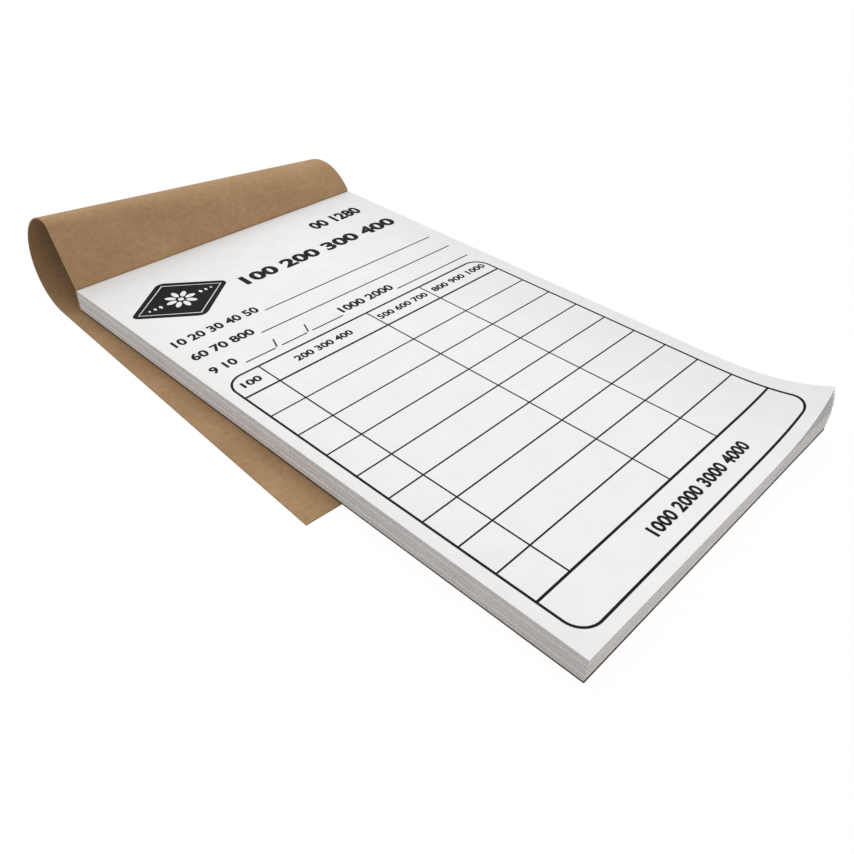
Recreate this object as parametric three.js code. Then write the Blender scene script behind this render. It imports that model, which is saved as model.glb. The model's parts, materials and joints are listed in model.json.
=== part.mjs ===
import * as THREE from 'three';

// An order pad: glued leaves on a backing board, with a kraft cover that is turned back over
// the head in an open roll and lies flat under the pad.
// Millimetres. X runs across the pad, Y from foot to head and Z up. The origin is the middle
// of the pad's footprint, on the table.

// Leaves
const PAD_WIDTH = 100;
const PAD_LENGTH = 170;
const LEAF_THICKNESS = 0.05;
const AIR_BETWEEN_LEAVES = 0.01;
const LOOSE_LEAF_COUNT = 10;
const LOOSE_LEAF_HEAD_GAP = 0.3;
const STACK_COUNT = 10;
const LEAVES_PER_STACK = 9;
const STAGGER_ACROSS = 0.12;
const STAGGER_ALONG = 0.15;

// Curl of the loose leaves at the foot-right corner, measured from that corner
const CURL_START_RIGHT_EDGE = 28;
const CURL_START_FOOT_EDGE = 16;
const CURL_RISE = 6.5;
const CURL_DECAY = 1.6;
const CURL_STEPS = 6;

// Backing board and padding glue
const BOARD_THICKNESS = 0.45;
const GLUE_THICKNESS = 0.2;
const GLUE_BELOW_TOP_LEAF = 0.15;

// Kraft cover
const COVER_THICKNESS = 0.35;
const COVER_LENGTH = 169;
const COVER_LEAN_DEG = 119.5;
const COVER_RISE_LEFT = 17.8;
const COVER_RISE_RIGHT = 1.5;
const FOLD_COUNT = 12;
const FOLDS_PER_HINGE = 3;
const SET_FOLD_DEG = 10;
const FOLD_EVENNESS = 0.17;
const FOLD_GAP = 0.3;
const CREASE_ABOVE_TOP_LEAF = 0.25;
const FLAP_TO_BOARD_GAP = 0.1;

// Heights above the table and places along the pad
const LEAF_PITCH = LEAF_THICKNESS + AIR_BETWEEN_LEAVES;
const BOARD_BOTTOM = COVER_THICKNESS + FLAP_TO_BOARD_GAP;
const STACKS_BOTTOM = BOARD_BOTTOM + BOARD_THICKNESS;
const STACK_HEIGHT = LEAVES_PER_STACK * LEAF_PITCH;
const LOOSE_LEAVES_BOTTOM = STACKS_BOTTOM + STACK_COUNT * STACK_HEIGHT;
const TOP_OF_LEAVES = LOOSE_LEAVES_BOTTOM + LOOSE_LEAF_COUNT * LEAF_PITCH;
const HEAD_Y = PAD_LENGTH / 2;
const FOOT_Y = -PAD_LENGTH / 2;
const GLUE_BACK_Y = HEAD_Y + GLUE_THICKNESS;
const CREASE_Y = GLUE_BACK_Y + COVER_THICKNESS / 2;
const CREASE_Z = TOP_OF_LEAVES + CREASE_ABOVE_TOP_LEAF;
const HINGE_COUNT = FOLD_COUNT / FOLDS_PER_HINGE;
const SET_BEND = THREE.MathUtils.degToRad(SET_FOLD_DEG);
const SET_TURN = (FOLD_COUNT - HINGE_COUNT) * SET_BEND;

const leafPaper = { color: 0xeceef0, roughness: 0.92, metalness: 0 };
const kraft = { color: 0xa98462, roughness: 0.88, metalness: 0 };
const greyBoard = { color: 0x6f5a4c, roughness: 0.95, metalness: 0 };
const glueFilm = { color: 0xe6e2da, roughness: 0.5, metalness: 0 };

const pad = new THREE.Group();

function addPiece(parent, name, geometry, finish) {
  const mesh = new THREE.Mesh(geometry, new THREE.MeshStandardMaterial(finish));
  mesh.name = name;
  parent.add(mesh);
  return mesh;
}

function boxBetween(low, high) {
  const size = new THREE.Vector3().subVectors(high, low);
  const centre = new THREE.Vector3().addVectors(low, high).multiplyScalar(0.5);
  return new THREE.BoxGeometry(size.x, size.y, size.z).translate(centre.x, centre.y, centre.z);
}

function twoDigits(number) {
  return String(number).padStart(2, '0');
}

// Block of leaves

function addBackingBoard() {
  const low = new THREE.Vector3(-PAD_WIDTH / 2, FOOT_Y, BOARD_BOTTOM);
  const high = new THREE.Vector3(PAD_WIDTH / 2, HEAD_Y, STACKS_BOTTOM);
  addPiece(pad, 'backing_board', boxBetween(low, high), greyBoard);
}

// A stack of leaves that still stick together. Its head edge is flush with the glue, and its
// other edges stand a little out of line with the stacks around it, as trimmed paper does.
function addStack(index) {
  const across = STAGGER_ACROSS * Math.sin(2.4 * index);
  const along = STAGGER_ALONG * (0.5 + 0.5 * Math.sin(3.7 * index + 1));
  const bottom = STACKS_BOTTOM + index * STACK_HEIGHT;
  const low = new THREE.Vector3(across - PAD_WIDTH / 2, FOOT_Y + along, bottom);
  const high = new THREE.Vector3(across + PAD_WIDTH / 2, HEAD_Y, bottom + STACK_HEIGHT);
  addPiece(pad, `leaf_stack_${twoDigits(STACK_COUNT - index)}`, boxBetween(low, high), leafPaper);
}

// The outline of a loose leaf seen from above, as rows of points from head to corner. The
// first row is the head edge, the next the foot-left corner, and then each ruling of the curl
// runs from the right edge to the foot edge, down to the single point of the corner.
function leafRulings(rise, shift) {
  const left = shift.x - PAD_WIDTH / 2;
  const right = shift.x + PAD_WIDTH / 2;
  const foot = FOOT_Y + shift.y;
  const startRight = new THREE.Vector2(right, foot + CURL_START_RIGHT_EDGE);
  const startFoot = new THREE.Vector2(right - CURL_START_FOOT_EDGE, foot);
  const corner = new THREE.Vector2(right, foot);
  const along = new THREE.Vector2().subVectors(startFoot, startRight).normalize();
  const outward = new THREE.Vector2(-along.y, along.x);
  const reach = outward.dot(new THREE.Vector2().subVectors(corner, startRight));
  const radius = bendRadius(reach, rise);
  const place = (flat) => {
    const distance = outward.dot(new THREE.Vector2().subVectors(flat, startRight));
    const pulledIn = distance - radius * Math.sin(distance / radius);
    const height = radius * (1 - Math.cos(distance / radius));
    return new THREE.Vector3(flat.x - outward.x * pulledIn, flat.y - outward.y * pulledIn, height);
  };
  const rulings = [];
  for (let step = 0; step < CURL_STEPS; step += 1) {
    const share = step / CURL_STEPS;
    rulings.push([
      place(new THREE.Vector2().lerpVectors(startRight, corner, share)),
      place(new THREE.Vector2().lerpVectors(startFoot, corner, share)),
    ]);
  }
  const head = HEAD_Y - LOOSE_LEAF_HEAD_GAP;
  return {
    headRight: new THREE.Vector3(right, head, 0),
    headLeft: new THREE.Vector3(left, head, 0),
    footLeft: new THREE.Vector3(left, foot, 0),
    rulings,
    tip: place(corner),
  };
}

// The radius of an arc of the given length whose end lies the given rise off its tangent.
function bendRadius(arcLength, rise) {
  let radius = arcLength ** 2 / (2 * rise);
  for (let pass = 0; pass < 20; pass += 1) {
    radius *= (radius * (1 - Math.cos(arcLength / radius))) / rise;
  }
  return radius;
}

// A leaf is its upper surface, the same surface one thickness lower, and a rim between them.
function leafGeometry(rise, shift, bottom) {
  const { headRight, headLeft, footLeft, rulings, tip } = leafRulings(rise, shift);
  const rightEdge = rulings.map((ruling) => ruling[0]);
  const footEdge = rulings.map((ruling) => ruling[1]);
  const rim = [headRight, headLeft, footLeft, ...footEdge, tip, ...rightEdge.toReversed()];
  const footStart = 3;
  const tipIndex = footStart + CURL_STEPS;
  const rightStart = rim.length - 1;
  const faces = [
    [0, 1, 2],
    [0, 2, footStart],
    [0, footStart, rightStart],
  ];
  for (let step = 0; step < CURL_STEPS - 1; step += 1) {
    const foot = footStart + step;
    const right = rightStart - step;
    faces.push([right, foot, foot + 1], [right, foot + 1, right - 1]);
  }
  faces.push([tipIndex + 1, tipIndex - 1, tipIndex]);

  const positions = [];
  for (const lift of [bottom + LEAF_THICKNESS, bottom]) {
    for (const point of rim) {
      positions.push(point.x, point.y, point.z + lift);
    }
  }
  const below = rim.length;
  const triangles = [];
  for (const [a, b, c] of faces) {
    triangles.push(a, b, c, below + a, below + c, below + b);
  }
  for (let index = 0; index < rim.length; index += 1) {
    const next = (index + 1) % rim.length;
    triangles.push(index, below + index, below + next, index, below + next, next);
  }
  const geometry = new THREE.BufferGeometry();
  geometry.setAttribute('position', new THREE.Float32BufferAttribute(positions, 3));
  geometry.setIndex(triangles);
  geometry.computeVertexNormals();
  return geometry;
}

// Loose leaves are numbered from the top one. The curl dies away down the pile.
function addLooseLeaf(number) {
  const depth = (number - 1) / LOOSE_LEAF_COUNT;
  const rise = CURL_RISE * (1 - depth) ** CURL_DECAY;
  const shift = new THREE.Vector2(
    0.5 * STAGGER_ACROSS * Math.sin(1.9 * (number - 1)),
    0.5 * STAGGER_ALONG * (1 - Math.cos(2.3 * (number - 1))),
  );
  const bottom = TOP_OF_LEAVES - (number - 1) * LEAF_PITCH - LEAF_THICKNESS;
  const leaf = addPiece(pad, `leaf_${twoDigits(number)}`, leafGeometry(rise, shift, bottom), leafPaper);
  leaf.userData.hingeHeight = bottom + LEAF_THICKNESS / 2;
}

// The film of glue down the head face that holds the leaves and the cover's spine.
function addPaddingGlue() {
  const low = new THREE.Vector3(-PAD_WIDTH / 2, HEAD_Y, BOARD_BOTTOM);
  const high = new THREE.Vector3(PAD_WIDTH / 2, GLUE_BACK_Y, TOP_OF_LEAVES - GLUE_BELOW_TOP_LEAF);
  addPiece(pad, 'padding_glue', boxBetween(low, high), glueFilm);
}

// Cover

// The cover is one flat sheet, rolled. On the sheet, x runs across from its left edge and y
// away from the crease. It bends along a fan of straight folds, which leave its left edge late
// and close together, and its right edge early and far apart, so the roll stands higher on the
// left. One fold in three is a hinge. The two beside it are set in the card at a small angle.
function foldLines(rollLeft, rollRight) {
  const folds = [];
  for (let index = 0; index < FOLD_COUNT; index += 1) {
    const share = index / (FOLD_COUNT - 1);
    const widening = FOLD_EVENNESS * share + (1 - FOLD_EVENNESS) * share ** 2;
    const narrowing = FOLD_EVENNESS * share + (1 - FOLD_EVENNESS) * (1 - (1 - share) ** 2);
    folds.push({
      left: new THREE.Vector3(0, COVER_RISE_LEFT + rollLeft * widening, 0),
      right: new THREE.Vector3(PAD_WIDTH, COVER_RISE_RIGHT + rollRight * narrowing, 0),
    });
  }
  return folds;
}

function isHinged(foldIndex) {
  return foldIndex % FOLDS_PER_HINGE === 1;
}

function creaseMatrix() {
  const tilt = Math.PI - THREE.MathUtils.degToRad(COVER_LEAN_DEG);
  const matrix = new THREE.Matrix4().makeRotationX(tilt);
  return matrix.setPosition(-PAD_WIDTH / 2, CREASE_Y, CREASE_Z);
}

// A turn about a fold line, towards the back of the sheet.
function foldMatrix(fold, bend) {
  const direction = new THREE.Vector3().subVectors(fold.right, fold.left).normalize();
  const turn = new THREE.Matrix4().makeRotationAxis(direction, -bend);
  const there = new THREE.Matrix4().makeTranslation(fold.left.x, fold.left.y, fold.left.z);
  const back = new THREE.Matrix4().makeTranslation(-fold.left.x, -fold.left.y, -fold.left.z);
  return there.multiply(turn).multiply(back);
}

// How far the free part of the cover is from lying level at table height: the sideways and
// lengthways parts of its normal, and its height error.
function flapError([turn, rollLeft, rollRight]) {
  const matrix = creaseMatrix();
  const hingeBend = (turn - SET_TURN) / HINGE_COUNT;
  foldLines(rollLeft, rollRight).forEach((fold, index) => {
    matrix.multiply(foldMatrix(fold, isHinged(index) ? hingeBend : SET_BEND));
  });
  const normal = new THREE.Vector3(0, 0, 1).transformDirection(matrix);
  const end = new THREE.Vector3(PAD_WIDTH / 2, COVER_LENGTH, 0).applyMatrix4(matrix);
  return new THREE.Vector3(normal.x, normal.y, end.z - COVER_THICKNESS / 2);
}

// Newton's method on the total turn of the roll and its length along each edge, until the
// free part lies flat on the table.
function settleCover() {
  const turnLeft = 2 * Math.PI - THREE.MathUtils.degToRad(COVER_LEAN_DEG);
  let guess = [turnLeft, 2.1 * COVER_RISE_LEFT, 2 * COVER_RISE_LEFT];
  const nudge = 1e-5;
  for (let pass = 0; pass < 30; pass += 1) {
    const error = flapError(guess);
    const columns = guess.map((value, index) => {
      const moved = guess.with(index, value + nudge);
      return flapError(moved).sub(error).divideScalar(nudge);
    });
    const [a, b, c] = columns;
    const slope = new THREE.Matrix3().set(a.x, b.x, c.x, a.y, b.y, c.y, a.z, b.z, c.z);
    const step = error.clone().applyMatrix3(slope.invert());
    guess = [guess[0] - step.x, guess[1] - step.y, guess[2] - step.z];
  }
  return guess;
}

function lineAcross(distance) {
  return {
    left: new THREE.Vector3(0, distance, 0),
    right: new THREE.Vector3(PAD_WIDTH, distance, 0),
  };
}

function lineMoved(line, distance) {
  const shift = new THREE.Vector3(0, distance, 0);
  return { left: line.left.clone().add(shift), right: line.right.clone().add(shift) };
}

// Each strip of the sheet starts at a hinge and holds the set folds up to the next one.
function cutIntoStrips(folds) {
  const strips = [{ hinge: lineAcross(0), setFolds: [] }];
  folds.forEach((fold, index) => {
    if (isHinged(index)) {
      strips.push({ hinge: fold, setFolds: [] });
    } else {
      strips.at(-1).setFolds.push(fold);
    }
  });
  return strips;
}

// A strip as one solid, with a mitred edge of four points at each of the lines across it: upper
// left, upper right, lower left and lower right. It bends at every line but its first and last.
function stripGeometry(lines) {
  const matrix = new THREE.Matrix4();
  const positions = [];
  lines.forEach((line, index) => {
    const before = matrix.clone();
    if (index > 0 && index < lines.length - 1) {
      matrix.multiply(foldMatrix(line, SET_BEND));
    }
    const mitre = new THREE.Vector3(0, 0, 1).transformDirection(before);
    const after = new THREE.Vector3(0, 0, 1).transformDirection(matrix);
    const cosine = mitre.dot(after);
    mitre.add(after).multiplyScalar(COVER_THICKNESS / 2 / (1 + cosine));
    for (const side of [1, -1]) {
      for (const end of [line.left, line.right]) {
        const point = end.clone().applyMatrix4(before).addScaledVector(mitre, side);
        positions.push(point.x, point.y, point.z);
      }
    }
  });
  const last = 4 * (lines.length - 1);
  const triangles = [0, 2, 3, 0, 3, 1, last, last + 1, last + 3, last, last + 3, last + 2];
  for (let near = 0; near < last; near += 4) {
    const far = near + 4;
    triangles.push(near, near + 1, far + 1, near, far + 1, far);
    triangles.push(near + 2, far + 2, far + 3, near + 2, far + 3, near + 3);
    triangles.push(near, far, far + 2, near, far + 2, near + 2);
    triangles.push(near + 1, near + 3, far + 3, near + 1, far + 3, far + 1);
  }
  const geometry = new THREE.BufferGeometry();
  geometry.setAttribute('position', new THREE.Float32BufferAttribute(positions, 3));
  geometry.setIndex(triangles);
  geometry.computeVertexNormals();
  return geometry;
}

// The cover's glued strip runs down the head face, and the rest hangs from the crease as a
// chain of groups, one inside the other, each turned about its hinge.
function addCover() {
  const spineLow = new THREE.Vector3(-PAD_WIDTH / 2, GLUE_BACK_Y, BOARD_BOTTOM);
  const spineTop = CREASE_Z - FOLD_GAP;
  const spineHigh = new THREE.Vector3(PAD_WIDTH / 2, GLUE_BACK_Y + COVER_THICKNESS, spineTop);
  addPiece(pad, 'cover_spine', boxBetween(spineLow, spineHigh), kraft);

  const [turn, rollLeft, rollRight] = settleCover();
  const hingeBend = (turn - SET_TURN) / HINGE_COUNT;
  const strips = cutIntoStrips(foldLines(rollLeft, rollRight));
  const turnToNext = creaseMatrix();
  let holder = pad;
  strips.forEach(({ hinge, setFolds }, index) => {
    const group = new THREE.Group();
    group.applyMatrix4(turnToNext);
    holder.add(group);
    holder = group;

    const near = lineMoved(hinge, index === 0 ? FOLD_GAP : FOLD_GAP / 2);
    const next = strips[index + 1];
    const far = next ? lineMoved(next.hinge, -FOLD_GAP / 2) : lineAcross(COVER_LENGTH);
    const strip = addPiece(group, stripName(index), stripGeometry([near, ...setFolds, far]), kraft);
    strip.userData.fold = hinge;
    strip.userData.bend = turn / HINGE_COUNT;

    turnToNext.identity();
    setFolds.forEach((fold) => turnToNext.multiply(foldMatrix(fold, SET_BEND)));
    if (next) {
      turnToNext.multiply(foldMatrix(next.hinge, hingeBend));
    }
  });
}

function stripName(index) {
  if (index === 0) {
    return 'cover_rise';
  }
  return index === HINGE_COUNT ? 'cover_flap' : `cover_roll_${twoDigits(index)}`;
}

addBackingBoard();
for (let index = 0; index < STACK_COUNT; index += 1) {
  addStack(index);
}
for (let number = 1; number <= LOOSE_LEAF_COUNT; number += 1) {
  addLooseLeaf(number);
}
addPaddingGlue();
addCover();

export default pad;
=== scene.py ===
"""An order pad dressed for rendering: ruled leaves, a backing board and a rolled-back kraft cover.

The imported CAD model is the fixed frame. Lengths are metres and angles are radians. X runs
across the pad, Y from its foot to its head, and Z up from the table.
"""

import json
import logging
import math
from dataclasses import dataclass, field
from enum import Enum

import bmesh
import bpy
from mathutils import Matrix, Vector


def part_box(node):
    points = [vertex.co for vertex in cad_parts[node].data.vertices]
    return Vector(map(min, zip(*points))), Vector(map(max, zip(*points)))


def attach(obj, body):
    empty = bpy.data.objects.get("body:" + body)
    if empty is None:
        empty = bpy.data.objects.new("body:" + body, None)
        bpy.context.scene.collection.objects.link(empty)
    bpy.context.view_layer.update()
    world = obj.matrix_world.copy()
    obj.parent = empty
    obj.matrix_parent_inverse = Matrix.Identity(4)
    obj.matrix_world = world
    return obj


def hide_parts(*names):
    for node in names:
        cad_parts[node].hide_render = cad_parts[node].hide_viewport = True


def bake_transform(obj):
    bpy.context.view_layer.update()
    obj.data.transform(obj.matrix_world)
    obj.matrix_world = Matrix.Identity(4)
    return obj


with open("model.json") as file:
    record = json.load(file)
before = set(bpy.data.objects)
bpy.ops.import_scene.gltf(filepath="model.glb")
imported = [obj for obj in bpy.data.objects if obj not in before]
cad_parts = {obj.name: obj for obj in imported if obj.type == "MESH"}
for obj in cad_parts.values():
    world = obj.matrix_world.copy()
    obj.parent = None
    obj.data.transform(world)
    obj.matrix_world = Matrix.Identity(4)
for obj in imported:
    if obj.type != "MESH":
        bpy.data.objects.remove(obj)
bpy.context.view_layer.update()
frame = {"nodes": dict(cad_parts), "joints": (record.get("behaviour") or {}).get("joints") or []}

MM = 0.001
SNAP = 1e-7
SMOOTH_ANGLE = math.radians(30)
UPRIGHT_NORMAL = 0.5
PHOTO_WIDTH = 854

Triple = tuple[float, float, float]
Colour = tuple[float, float, float]
Socket = bpy.types.NodeSocket

BLACK: Colour = (0.0, 0.0, 0.0)
WHITE: Colour = (1.0, 1.0, 1.0)

log = logging.getLogger("order_pad")


class Face(Enum):
    """Which finish a face of a leaf takes, as its material index."""

    SHEET = 0
    CUT_EDGE = 1


class PrintHeight(Enum):
    """Where a layer of print lies over the leaf, from its underside to its upper side."""

    INK = (0.004 * MM, 0.010 * MM)
    BARE = (0.012 * MM, 0.016 * MM)


class ColourMix(Enum):
    """How two colours are mixed, by the shader node's own word."""

    BLEND = "MIX"
    MULTIPLY = "MULTIPLY"


class Operation(Enum):
    """What is worked out from two values, by the shader node's own word."""

    ADD = "ADD"
    MULTIPLY = "MULTIPLY"
    MAXIMUM = "MAXIMUM"


@dataclass(frozen=True)
class Grain:
    """A noise pattern: its spots to the metre, its detail, and its squeeze along each axis.

    A squeeze under 1 draws the pattern out.
    """

    per_metre: float
    detail: float
    squeeze: Triple | None = None


@dataclass(frozen=True)
class Tones:
    """Two colours, and the values of a pattern at which the dark one ends and the light starts."""

    dark: Colour
    light: Colour
    dark_until: float = 0.35
    light_from: float = 0.65


@dataclass(frozen=True)
class Relief:
    """The bump of a finish: its strength from 0 to 1, and its depth."""

    strength: float
    depth: float


@dataclass(frozen=True)
class FoldLine:
    """A straight fold across a flat sheet.

    The sheet beyond it lies to the left of its direction, and turns about it by its turn.
    """

    start: Vector
    direction: Vector
    turn: float

    def outward(self) -> Vector:
        """The direction in the flat sheet from the fold to the part that turns."""
        return Vector((-self.direction.y, self.direction.x, 0.0))

    def distance(self, point: Vector) -> float:
        """How far beyond the fold a point of the flat sheet lies."""
        return (point - self.start).dot(self.outward())

    def matrix(self) -> Matrix:
        """The turn about the fold.

        Returns:
            The turn as a transform.
        """
        there = Matrix.Translation(self.start)
        turned = Matrix.Rotation(self.turn, 4, self.direction)
        return there @ turned @ there.inverted()


class NodeTree:
    """A short way to make and join the shader nodes of one material or world."""

    def __init__(self, tree: bpy.types.NodeTree) -> None:
        """Starts with no nodes in the given tree."""
        self.tree = tree
        self.tree.nodes.clear()

    def add(self, kind: str, **inputs: object) -> bpy.types.Node:
        """Adds a node and sets or links its inputs.

        Args:
            kind: The node's type, without the ShaderNode prefix.
            inputs: Input names in lower case with underscores, each a value or a socket.

        Returns:
            The new node.
        """
        node = self.tree.nodes.new(f"ShaderNode{kind}")
        for name, value in inputs.items():
            self.give(node.inputs[name.replace("_", " ").title()], value)
        return node

    def give(self, socket: Socket, value: object) -> None:
        """Feeds an input of a node.

        Args:
            socket: The input.
            value: A socket to link to it, or a plain value.
        """
        if isinstance(value, Socket):
            self.tree.links.new(value, socket)
        else:
            socket.default_value = value

    def object_place(self) -> Socket:
        """The place on the object, in metres."""
        return self.add("TexCoord").outputs["Object"]

    def squeezed(self, place: Socket, scale: Triple) -> Socket:
        """Scales a place along each axis before a pattern reads it."""
        return self.add("Mapping", vector=place, scale=scale).outputs["Vector"]

    def noise(self, place: Socket, grain: Grain) -> Socket:
        """Adds a noise pattern.

        Args:
            place: The place at which it is read.
            grain: How fine it is, and how it is squeezed.

        Returns:
            The pattern's value.
        """
        if grain.squeeze:
            place = self.squeezed(place, grain.squeeze)
        node = self.add("TexNoise", vector=place, scale=grain.per_metre, detail=grain.detail)
        return node.outputs["Fac"]

    def ramp(self, value: Socket, stops: list[tuple[float, Colour]]) -> Socket:
        """Turns a value into a colour.

        Args:
            value: The value to look up.
            stops: Positions from 0 to 1, each with its colour.

        Returns:
            The colour's socket.
        """
        node = self.add("ValToRGB", fac=value)
        elements = node.color_ramp.elements
        while len(elements) < len(stops):
            elements.new(0.5)
        for element, (position, colour) in zip(elements, stops):
            element.position = position
            element.color = (*colour, 1.0)
        return node.outputs["Color"]

    def toned(self, value: Socket, tones: Tones) -> Socket:
        """Turns a pattern's value into a colour between two tones."""
        return self.ramp(value, [(tones.dark_until, tones.dark), (tones.light_from, tones.light)])

    def mixed(
        self, share: object, first: object, second: object, way: ColourMix = ColourMix.BLEND
    ) -> Socket:
        """Mixes two colours.

        Args:
            share: How much the second one counts, from 0 to 1.
            first: The first colour, or its socket.
            second: The second colour, or its socket.
            way: How they are mixed.

        Returns:
            The mix's socket.
        """
        node = self.tree.nodes.new("ShaderNodeMix")
        node.data_type = "RGBA"
        node.blend_type = way.value
        self.give(node.inputs[0], share)
        for socket, colour in ((node.inputs[6], first), (node.inputs[7], second)):
            self.give(socket, (*colour, 1.0) if isinstance(colour, tuple) else colour)
        return node.outputs[2]

    def shaders_mixed(
        self, share: object, first: bpy.types.Node, second: bpy.types.Node
    ) -> Socket:
        """Mixes two shaders.

        Args:
            share: How much the second one counts, from 0 to 1.
            first: The first shader's node.
            second: The second shader's node.

        Returns:
            The mix's socket.
        """
        node = self.tree.nodes.new("ShaderNodeMixShader")
        self.give(node.inputs[0], share)
        self.give(node.inputs[1], first.outputs[0])
        self.give(node.inputs[2], second.outputs[0])
        return node.outputs[0]

    def math(self, operation: Operation, first: object, second: object) -> Socket:
        """Works out one value from two.

        Args:
            operation: What is worked out.
            first: The first value, or its socket.
            second: The second value, or its socket.

        Returns:
            The result's socket.
        """
        node = self.tree.nodes.new("ShaderNodeMath")
        node.operation = operation.value
        self.give(node.inputs[0], first)
        self.give(node.inputs[1], second)
        return node.outputs[0]

    def seen(self) -> Socket:
        """A value that is 1 where the camera sees, directly or by a reflection, and else 0.

        Returns:
            The value's socket.
        """
        rays = self.add("LightPath").outputs
        either = Operation.MAXIMUM
        direct_or_mirrored = self.math(either, rays["Is Camera Ray"], rays["Is Glossy Ray"])
        return self.math(either, direct_or_mirrored, rays["Is Transmission Ray"])

    def bump(self, height: Socket, relief: Relief) -> Socket:
        """Adds a bump, and returns its normal."""
        node = self.add("Bump", height=height, strength=relief.strength, distance=relief.depth)
        return node.outputs["Normal"]


def new_material(name: str) -> tuple[bpy.types.Material, NodeTree]:
    """Makes an empty material.

    Args:
        name: Its name.

    Returns:
        The material, and the helper for its nodes.
    """
    material = bpy.data.materials.new(name)
    material.use_nodes = True
    return material, NodeTree(material.node_tree)


@dataclass(frozen=True, kw_only=True)
class MattFinish:
    """What every finish of the pad shares: a matt surface with one colour and relief."""

    name: str
    roughness: float
    relief: Relief
    specular: float = 0.25

    def surface(self, nodes: NodeTree, colour: Socket, height: Socket) -> None:
        """Ends the node tree with the matt surface.

        Args:
            nodes: The material's nodes.
            colour: The surface's colour.
            height: The pattern that its relief follows.
        """
        shader = nodes.add("BsdfPrincipled", base_color=colour, roughness=self.roughness)
        shader.inputs["Specular IOR Level"].default_value = self.specular
        nodes.give(shader.inputs["Normal"], nodes.bump(height, self.relief))
        nodes.add("OutputMaterial", surface=shader.outputs["BSDF"])


@dataclass(frozen=True, kw_only=True)
class GrainedFinish(MattFinish):
    """A finish whose colour and relief both follow one grain."""

    grain: Grain
    tones: Tones

    def material(self) -> bpy.types.Material:
        """Builds the finish's material.

        Returns:
            The material.
        """
        material, nodes = new_material(self.name)
        pattern = nodes.noise(nodes.object_place(), self.grain)
        self.surface(nodes, nodes.toned(pattern, self.tones), pattern)
        return material


@dataclass(frozen=True, kw_only=True)
class BackingBoard(GrainedFinish):
    """Thin recycled board: dark dull brown with a coarse mottle."""

    name: str = "backing_board_card"
    roughness: float = 0.95
    relief: Relief = Relief(strength=0.3, depth=0.04 * MM)
    grain: Grain = Grain(per_metre=900, detail=6)
    tones: Tones = Tones(dark=(0.055, 0.040, 0.031), light=(0.092, 0.068, 0.054))


@dataclass(frozen=True, kw_only=True)
class PaddingGlue(GrainedFinish):
    """Dried padding glue: a creamy film, brushed on in long uneven strokes."""

    name: str = "padding_glue_film"
    roughness: float = 0.45
    relief: Relief = Relief(strength=0.4, depth=0.06 * MM)
    grain: Grain = Grain(per_metre=900, detail=5, squeeze=(0.08, 1.0, 1.0))
    tones: Tones = Tones(dark=(0.640, 0.600, 0.540), light=(0.780, 0.745, 0.690))


@dataclass(frozen=True, kw_only=True)
class PrintInk(GrainedFinish):
    """Black offset ink that lets a little of the paper's tooth through."""

    name: str = "black_ink"
    roughness: float = 0.8
    relief: Relief = Relief(strength=0.12, depth=0.01 * MM)
    specular: float = 0.12
    grain: Grain = Grain(per_metre=2600, detail=6)
    tones: Tones = Tones((0.006, 0.006, 0.006), (0.022, 0.022, 0.022), 0.45, 0.75)


@dataclass(frozen=True, kw_only=True)
class LeafPaper(MattFinish):
    """Uncoated bond paper: white and faintly cloudy, with painted shade towards its long edges.

    It is at its whitest between two shares of its width, counted from its left edge.
    """

    name: str = "leaf_paper_sheet"
    roughness: float = 0.9
    relief: Relief = Relief(strength=0.12, depth=0.02 * MM)
    tooth: Grain = Grain(per_metre=2600, detail=6)
    clouds: Grain = Grain(per_metre=160, detail=4)
    cloud_tones: Tones = Tones((0.858, 0.858, 0.856), (0.885, 0.885, 0.885), 0.3, 0.62)
    half_width: float = 50 * MM
    white_from: float = 0.10
    white_until: float = 0.66
    # painted shade: the paper's colour at its left and right edges
    left_edge_shade: Colour = (0.965, 0.963, 0.960)
    right_edge_shade: Colour = (0.905, 0.905, 0.905)

    def material(self) -> bpy.types.Material:
        """Builds the paper's material.

        Returns:
            The material.
        """
        material, nodes = new_material(self.name)
        place = nodes.object_place()
        colour = nodes.toned(nodes.noise(place, self.clouds), self.cloud_tones)
        across = nodes.add(
            "MapRange",
            value=nodes.add("SeparateXYZ", vector=place).outputs["X"],
            from_min=-self.half_width,
            from_max=self.half_width,
        )
        # painted shade: the colour darkens towards the left and right edges of the leaf
        edge_shade_stops = [
            (0.0, self.left_edge_shade),
            (self.white_from, WHITE),
            (self.white_until, WHITE),
            (1.0, self.right_edge_shade),
        ]
        painted_edge_shade = nodes.ramp(across.outputs["Result"], edge_shade_stops)
        colour = nodes.mixed(1.0, colour, painted_edge_shade, ColourMix.MULTIPLY)
        self.surface(nodes, colour, nodes.noise(place, self.tooth))
        return material


@dataclass(frozen=True, kw_only=True)
class LeafEdges(MattFinish):
    """The cut edges of the leaves: a soft warm grey, with faint layers and cloudy patches."""

    name: str = "leaf_paper_edges"
    roughness: float = 0.95
    relief: Relief = Relief(strength=0.03, depth=0.02 * MM)
    layers: Grain = Grain(per_metre=1800, detail=3, squeeze=(0.05, 0.05, 3.0))
    layer_tones: Tones = Tones(dark=(0.824, 0.789, 0.773), light=(0.835, 0.801, 0.786))
    patches: Grain = Grain(per_metre=110, detail=3, squeeze=(1.0, 1.0, 2.0))
    patch_tones: Tones = Tones(dark=(0.93, 0.92, 0.925), light=(1.0, 1.0, 0.99))

    def material(self) -> bpy.types.Material:
        """Builds the edges' material.

        Returns:
            The material.
        """
        material, nodes = new_material(self.name)
        place = nodes.object_place()
        layers = nodes.noise(place, self.layers)
        colour = nodes.toned(layers, self.layer_tones)
        shade = nodes.toned(nodes.noise(place, self.patches), self.patch_tones)
        colour = nodes.mixed(1.0, colour, shade, ColourMix.MULTIPLY)
        self.surface(nodes, colour, layers)
        return material


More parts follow.
